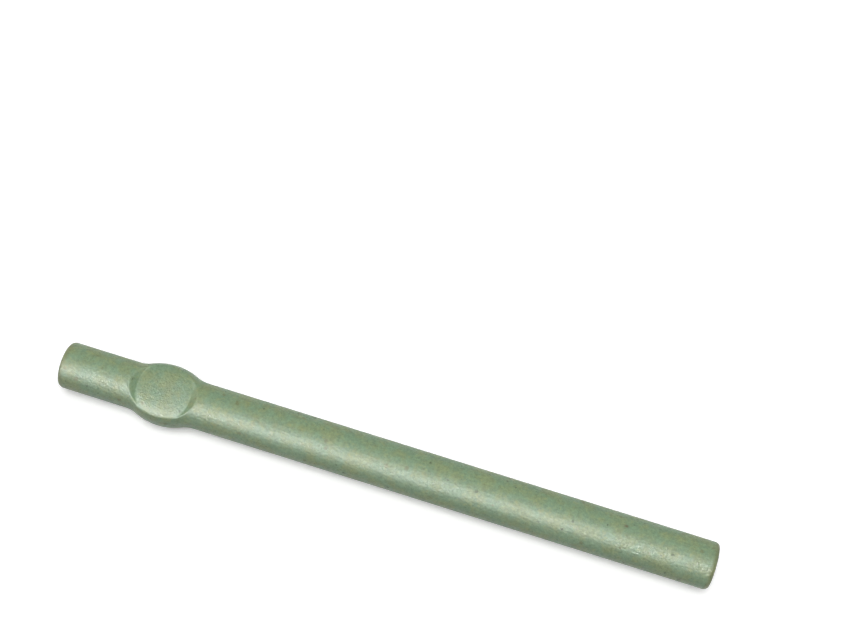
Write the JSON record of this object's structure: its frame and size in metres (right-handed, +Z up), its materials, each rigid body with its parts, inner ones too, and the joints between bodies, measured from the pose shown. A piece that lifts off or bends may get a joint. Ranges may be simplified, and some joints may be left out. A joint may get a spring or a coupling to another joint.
{
  "type": "drinking straw",
  "caption": "Reusable drinking straw with domed finger pads near its mouth end, split lengthwise into half shells that lift apart for washing.",
  "frame": {"origin": "centre of the straw's length and width, on the surface that it lies on", "axes": "+X along the tube from the mouth end to the far end, +Z up through the upper finger pad, +Y across the tube"},
  "size_m": [0.198, 0.0184, 0.014],
  "materials": {
    "lower_plastic": "satin sage green with fine brown and olive specks",
    "upper_plastic": "satin sage green with fine brown and olive specks"
  },
  "bodies": {
    "lower_half": {"lower_shell": "lower_plastic"},
    "upper_half": {"upper_shell": "upper_plastic"}
  },
  "joints": [
    {"name": "shell_lift", "type": "slide", "parent": "lower_half", "child": "upper_half", "axis": [0, 0, 1], "range_m": [0, 0.03]}
  ]
}
